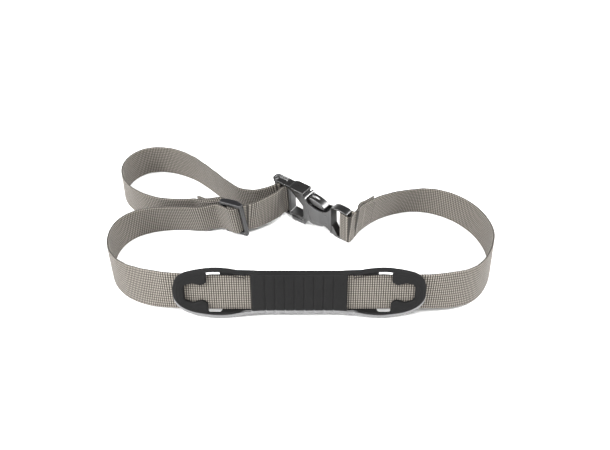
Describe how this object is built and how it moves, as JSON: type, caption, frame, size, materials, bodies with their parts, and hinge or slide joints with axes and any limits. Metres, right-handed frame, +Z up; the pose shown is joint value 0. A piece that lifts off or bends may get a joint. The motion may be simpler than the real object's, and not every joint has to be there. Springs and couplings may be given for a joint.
{
  "type": "optics carry strap",
  "caption": "Flat webbing carry strap standing on its edge, with a slide-on ribbed rubber grip pad, a strap adjuster and a side-release buckle, the spare length folded in a loop.",
  "frame": {"origin": "centre of the overall footprint, on the table the strap stands on", "axes": "+X along the grip pad towards the buckle side's arc, +Y away from the pad's ribbed front, +Z up"},
  "size_m": [0.2806, 0.1863, 0.0373],
  "materials": {
    "webbing": "woven taupe-grey polyester webbing",
    "thread": "sewn thread, a little darker than the webbing",
    "pad_rubber": "matte moulded rubber",
    "buckle_plastic": "semi-gloss black acetal",
    "adjuster_plastic": "satin black acetal"
  },
  "bodies": {
    "strap": {"webbing_pad_run": "webbing", "webbing_near_loop": "webbing", "webbing_adjuster_run": "webbing", "webbing_buckle_bight": "webbing", "webbing_far_loop": "webbing", "webbing_return_run": "webbing", "webbing_right_arc": "webbing", "buckle_male": "buckle_plastic"},
    "pad": {"grip_pad": "pad_rubber"},
    "adjuster": {"adjuster": "adjuster_plastic", "webbing_adjuster_end": "webbing", "stitching_adjuster": "thread"},
    "buckle_female": {"buckle_female": "buckle_plastic", "webbing_buckle_end": "webbing", "stitching_buckle": "thread"},
    "prong_upper": {"buckle_prong_upper": "buckle_plastic"},
    "prong_lower": {"buckle_prong_lower": "buckle_plastic"}
  },
  "joints": [
    {"name": "pad_slide", "type": "slide", "parent": "strap", "child": "pad", "axis": [1, 0, 0], "range_m": [-0.012, 0.012]},
    {"name": "adjuster_slide", "type": "slide", "parent": "strap", "child": "adjuster", "axis": [-0.9882, 0.152, -0.02], "range_m": [-0.006, 0.02], "deforming": ["webbing_adjuster_run", "webbing_return_run"]},
    {"name": "buckle_unclip", "type": "slide", "parent": "strap", "child": "buckle_female", "axis": [0.7865, -0.6144, -0.0628], "range_m": [0, 0.032], "deforming": ["webbing_right_arc", "buckle_prong_upper", "buckle_prong_lower"]},
    {"name": "prong_upper_squeeze", "type": "hinge", "parent": "strap", "child": "prong_upper", "pos_m": [0.01018, 0.0121, 0.02543], "axis": [0.6162, 0.7736, 0.1475], "range_deg": [0, 6], "stiffness_Nm_per_rad": 0.4},
    {"name": "prong_lower_squeeze", "type": "hinge", "parent": "strap", "child": "prong_lower", "pos_m": [0.0109, 0.01476, 0.00845], "axis": [-0.6162, -0.7736, -0.1475], "range_deg": [0, 6], "stiffness_Nm_per_rad": 0.4}
  ]
}
